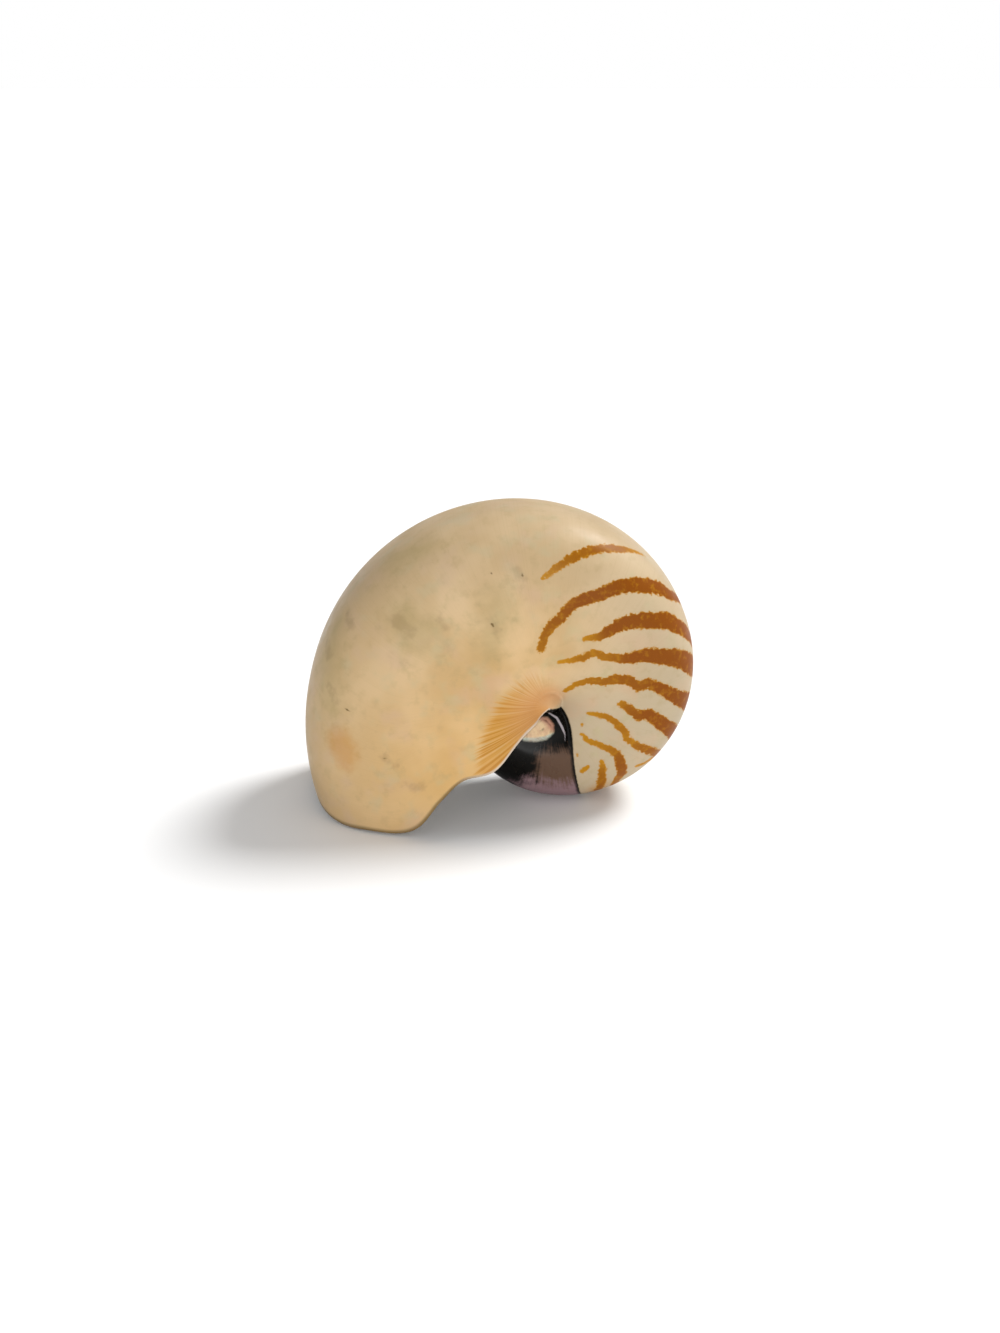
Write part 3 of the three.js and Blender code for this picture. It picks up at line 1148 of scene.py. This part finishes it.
@dataclass
class NautilusShell:
    """The shell: its fine mesh, the measures its finishes are drawn by, and its two finishes."""

    coil: Coil
    camera: PhotoCamera
    young_angle: Span = (-20.0, 120.0)
    rim_width: float = 0.65
    # Distances from the axis over which the lip's painted contact shadow comes in.
    contact_shade_from: Span = (24.0, 44.0)
    film_before: float = 30.0
    fade_angle: Span = (-116.0, -82.0)
    fade_across: Span = (0.28, 0.6)
    lilac_angle: Span = (-122.0, -96.0)
    lilac_across: Span = (0.55, 0.95)
    fan_angle: Span = (70.0, 190.0)
    fan_reach: tuple[Span, ...] = (
        (60.0, 9.0), (90.0, 14.0), (115.0, 17.0), (143.0, 18.0),
        (160.0, 20.0), (180.0, 23.0), (200.0, 28.5), (216.0, 34.0),
    )
    heart_angle: Span = (-30.0, 30.0)
    heart_edge: Span = (0.3, 1.0)
    heart_reach: tuple[Span, ...] = (
        (0.0, 7.0), (60.0, 12.0), (120.0, 16.0), (160.0, 21.0), (216.0, 22.0),
    )
    painted_turn: float = 372.0
    empty: float = -20.0
    axis: Array = field(init=False)

    def build(self) -> bpy.types.Object:
        """Makes the shell's object, in metres, standing where the plain solid stands.

        Returns:
            The shell.
        """
        skin = ShellSkin(self.coil)
        skin.build()
        points = np.vstack(skin.points)
        polygons, zones = skin.polygons()

        low, high = (np.array(c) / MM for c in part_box(SHELL_NODE))
        right, middle, floor = high[0], (low[1] + high[1]) / 2, low[2]
        self.axis = np.array([right - points[:, 0].max(), middle, floor - points[:, 2].min()])
        mesh = bpy.data.meshes.new("nautilus_shell")
        mesh.from_pydata(((points + self.axis) * MM).tolist(), [], polygons)
        mesh.polygons.foreach_set("material_index", zones)
        mesh.polygons.foreach_set("use_smooth", np.ones(len(polygons), bool))
        mesh.update()

        surface = BVHTree.FromPolygons(points.tolist(), polygons)
        self.measure(mesh, skin, points, Painter(self.coil, self.camera, surface))

        shell = bpy.data.objects.new("nautilus_shell", mesh)
        bpy.context.collection.objects.link(shell)
        mesh.materials.append(OuterLayer().build())
        mesh.materials.append(Nacre().build())
        return shell

    def measure(self, mesh: bpy.types.Mesh, skin: ShellSkin, points: Array,
                painter: Painter) -> None:
        """Writes on each vertex the measures that the finishes are drawn by.

        Args:
            mesh: The shell's mesh.
            skin: What made its points and faces.
            points: Its points about the coiling axis, in millimetres.
            painter: What lays the strokes on it.
        """
        coil = self.coil
        knobs = np.concatenate(skin.knobs)
        rims = np.concatenate(skin.rims)
        numbers = np.concatenate([skin.outer.ravel(), knobs, rims])
        place = points[numbers]
        from_axis = np.hypot(place[:, 0], place[:, 2])

        lines, sides = np.broadcast_arrays(skin.growth[:, None], np.abs(skin.acrosses()))
        turned = np.degrees(np.arctan2(points[knobs, 2], points[knobs, 0]))
        turned = np.where(turned < coil.lip_growth - 360, turned + 360, turned)
        at_lip = np.full(len(rims), coil.lip_growth)
        grown = np.concatenate([lines.ravel(), turned, at_lip])
        angle = np.concatenate([coil.line_angle(lines, sides).ravel(), turned, at_lip])
        across = np.concatenate([sides.ravel(), np.ones(len(knobs) + len(rims))])
        keel_near = from_axis / coil.keel(angle)
        from_lip = np.radians(coil.lip_growth - grown) * from_axis

        film = coil.past_film_edge(angle, from_axis)
        film = np.where(angle < self.film_before, film, self.empty)
        heart = from_axis / np.interp(angle, *np.array(self.heart_reach).T)
        measures = {
            "youth": 1 - smoothstep(*self.young_angle, angle),
            "keel_share": 1 - across,
            "growth_mm": np.radians(grown) * coil.keel(grown),
            "ray_angle": angle,
            "lip_edge": 1 - smoothstep(0.0, self.rim_width, from_lip),
            # Painted contact shadow on the lip's edge, growing away from the axis.
            "lobe_contact_shade": smoothstep(*self.contact_shade_from, from_axis),
            "film": np.clip(film, self.empty, -self.empty),
            "film_fade": smoothstep(*self.fade_angle, angle) * smoothstep(*self.fade_across, keel_near),
            "film_pale": smoothstep(*self.lilac_angle, angle) * smoothstep(*self.lilac_across, keel_near),
            "fan": np.interp(angle, *np.array(self.fan_reach).T) - from_axis,
            "fan_strength": smoothstep(*self.fan_angle, angle),
            "fan_heart": (1 - smoothstep(*self.heart_edge, heart)) * smoothstep(*self.heart_angle, angle),
        }
        shown = angle > coil.lip_growth - self.painted_turn
        painted = {name: painter.beads(strokes) for name, strokes in FLANK_STROKES.items()}
        painted |= {name: painter.spots(strokes) for name, strokes in SPOT_STROKES.items()}
        for name, (beads, halves) in painted.items():
            depth, half = np.full(len(numbers), self.empty), np.zeros(len(numbers))
            depth[shown], half[shown] = painter.depth(beads, halves, place[shown])
            measures[name] = depth
            if name == "stripe":
                measures["stripe_half"] = half
        for name, values in measures.items():
            data = np.full(len(mesh.vertices), self.empty)
            data[numbers] = values
            mesh.attributes.new(name, "FLOAT", "POINT").data.foreach_set("value", data)


@dataclass(frozen=True)
class Studio:
    """A plain white floor under an even white sky, with a soft light to the right and a front fill."""

    floor_colour: str = "F6F6F6"
    floor_size: float = 60.0
    sun_from: tuple[float, float, float] = (0.75, 0.4, 0.95)
    sun_angle: float = 23.0
    sun_strength: float = 3.0
    fill_from: tuple[float, float, float] = (0.1, -1.0, 0.2)
    fill_angle: float = 30.0
    fill_strength: float = 1.5
    sky: float = 0.47

    def build(self) -> None:
        """Adds the floor, the lights and the sky."""
        bpy.ops.mesh.primitive_plane_add(size=self.floor_size)
        floor = bpy.context.object
        floor.name = "floor"
        material = bpy.data.materials.new("matt_paper")
        material.use_nodes = True
        shader = material.node_tree.nodes["Principled BSDF"]
        shader.inputs["Base Color"].default_value = linear(self.floor_colour)
        shader.inputs["Roughness"].default_value = 0.9
        shader.inputs["Specular IOR Level"].default_value = 0.1
        floor.data.materials.append(material)
        self.light("soft_sun", self.sun_from, self.sun_angle, self.sun_strength)
        self.light("front_fill", self.fill_from, self.fill_angle, self.fill_strength)
        self.world()
        bpy.context.scene.view_settings.view_transform = "Standard"

    def light(self, name: str, come_from: tuple[float, float, float], angle: float,
              strength: float) -> None:
        """Adds a far light.

        Args:
            name: Its name.
            come_from: The direction it shines from.
            angle: How wide it looks, in degrees.
            strength: Its watts per square metre.
        """
        data = bpy.data.lights.new(name, "SUN")
        data.energy = strength
        data.angle = math.radians(angle)
        lamp = bpy.data.objects.new(name, data)
        bpy.context.collection.objects.link(lamp)
        lamp.rotation_euler = (-Vector(come_from)).to_track_quat("-Z", "Y").to_euler()

    def world(self) -> None:
        """Makes the sky: plain white where it is seen, a little dimmer as a light."""
        world = bpy.data.worlds.new("studio")
        world.use_nodes = True
        tree = world.node_tree
        seen = add(tree, "ShaderNodeLightPath").outputs["Is Camera Ray"]
        strength = add(tree, "ShaderNodeMapRange", {"Value": seen, "To Min": self.sky, "To Max": 1.0})
        background = tree.nodes["Background"]
        background.inputs["Color"].default_value = (1, 1, 1, 1)
        tree.links.new(strength.outputs[0], background.inputs["Strength"])
        bpy.context.scene.world = world


def main() -> None:
    """Builds the shell and the studio, and places the camera."""
    logging.basicConfig(level=logging.INFO, format="%(message)s")
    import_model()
    camera = PhotoCamera()
    nautilus = NautilusShell(Coil(), camera)
    shell = nautilus.build()
    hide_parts(SHELL_NODE)
    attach(shell, "root")
    LOG.info("%s: %d faces", shell.name, len(shell.data.polygons))
    camera.build(Vector(nautilus.axis) * MM)
    Studio().build()


if __name__ == "__main__":
    main()
